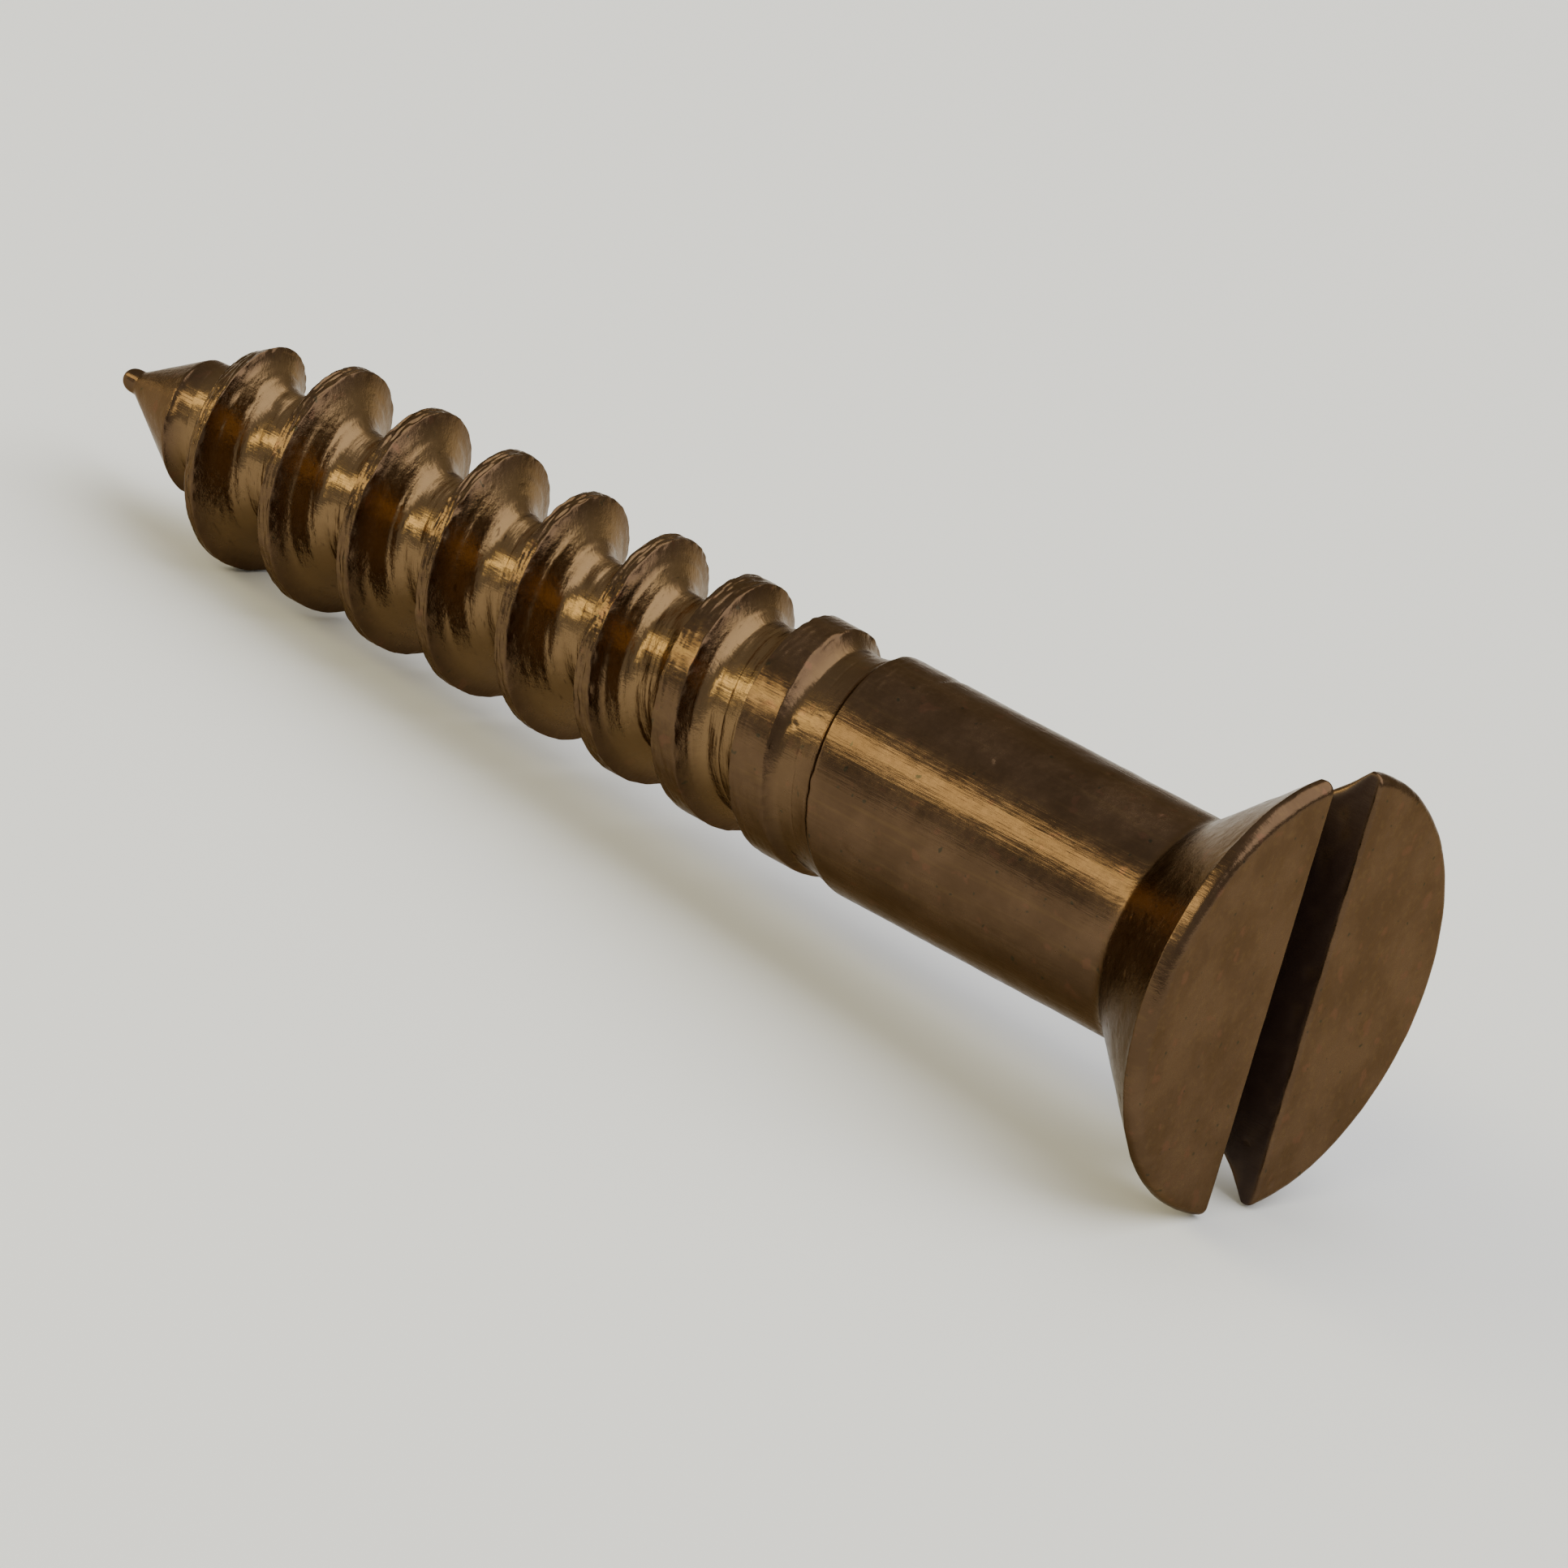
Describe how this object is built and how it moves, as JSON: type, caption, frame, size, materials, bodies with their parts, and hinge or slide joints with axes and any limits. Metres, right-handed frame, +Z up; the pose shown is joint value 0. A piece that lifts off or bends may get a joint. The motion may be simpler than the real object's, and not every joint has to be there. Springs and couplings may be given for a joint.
{
  "type": "wood screw",
  "caption": "Slotted countersunk wood screw with a plain shank, a cut right-hand thread and a gimlet point, lying at rest.",
  "frame": {"origin": "on the floor, under the middle of the lying screw's box", "axes": "+X along the screw towards its head, +Y across it, +Z up; the driving slot stands in the XZ plane and the axis dips 4.75 degrees towards the point"},
  "size_m": [0.0318, 0.0094, 0.0093],
  "materials": {
    "bronze": "dulled bright metal with fine turning marks"
  },
  "bodies": {
    "root": {"head": "bronze", "shank": "bronze", "threaded_length": "bronze", "point": "bronze"}
  },
  "joints": []
}
